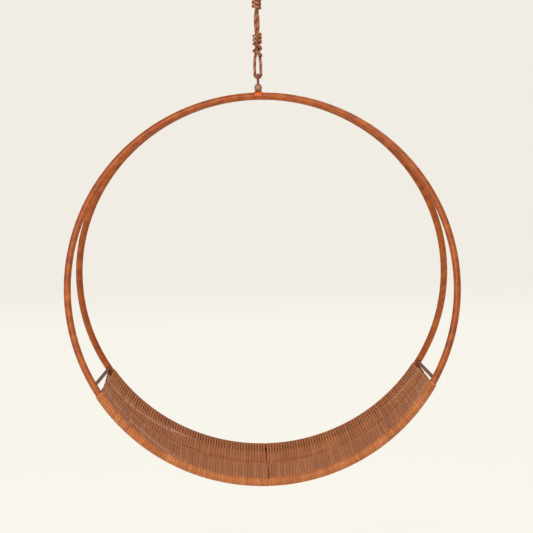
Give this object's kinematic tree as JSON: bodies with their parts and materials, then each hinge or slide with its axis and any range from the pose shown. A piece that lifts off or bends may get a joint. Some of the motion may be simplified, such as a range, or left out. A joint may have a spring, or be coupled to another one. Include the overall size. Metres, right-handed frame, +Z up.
{
  "type": "hanging hoop chair",
  "caption": "Round hanging chair of tilted tube hoops that meet at the top, with a wound cord seat between them, hung by a knotted rope from a swivelling ceiling plate.",
  "frame": {"origin": "centre of the ceiling plate's upper face, on the upright axis that the chair hangs on", "axes": "+Z up, out of the plate into the ceiling; +X to the side, in the plane of the hoops; +Y to the rear"},
  "size_m": [1.2, 0.5566, 1.6774],
  "materials": {
    "frame_coating": "semi-gloss burnt orange coating",
    "shackle_coating": "worn copper-brown coating",
    "fitting_coating": "satin burnt orange coating",
    "fastener_steel": "bright zinc",
    "bearing_brass": "oiled",
    "hanger_rope": "twisted fibre",
    "seat_cord": "flat braided fibre"
  },
  "bodies": {
    "ceiling_mount": {"ceiling_plate": "fitting_coating", "pivot_bracket": "fitting_coating", "pivot_bolt": "fastener_steel", "pivot_washers": "fastener_steel", "pivot_nut": "fastener_steel"},
    "stirrup": {"swivel_stirrup": "fitting_coating", "pivot_bush": "bearing_brass", "thrust_bearing": "bearing_brass"},
    "swivel": {"swivel_eye": "fitting_coating", "swivel_nut": "fastener_steel"},
    "hanger": {"hanger_rope": "hanger_rope", "lower_knot": "hanger_rope", "upper_knot": "hanger_rope", "shackle_bow": "shackle_coating", "shackle_pin": "shackle_coating", "shackle_nut": "shackle_coating"},
    "chair": {"hanging_lug": "frame_coating", "top_saddle": "frame_coating", "front_hoop": "frame_coating", "rear_hoop": "frame_coating", "left_cross_bar": "frame_coating", "right_cross_bar": "frame_coating", "seat_winding_1": "seat_cord", "seat_winding_2": "seat_cord", "seat_winding_3": "seat_cord", "seat_winding_4": "seat_cord", "seat_winding_5": "seat_cord", "seat_winding_6": "seat_cord", "cord_knots": "seat_cord"}
  },
  "joints": [
    {"name": "side_swing", "type": "hinge", "parent": "ceiling_mount", "child": "stirrup", "pos_m": [0, 0, -0.029], "axis": [0, 1, 0], "range_deg": [-30, 30]},
    {"name": "spin", "type": "hinge", "parent": "stirrup", "child": "swivel", "pos_m": [0, 0, -0.06], "axis": [0, 0, 1], "continuous": true},
    {"name": "fore_aft_swing", "type": "hinge", "parent": "swivel", "child": "hanger", "pos_m": [0, 0, -0.11465], "axis": [1, 0, 0], "range_deg": [-30, 30]},
    {"name": "chair_rock", "type": "hinge", "parent": "hanger", "child": "chair", "pos_m": [0, 0, -0.48815], "axis": [0, 1, 0], "range_deg": [-20, 20]}
  ]
}
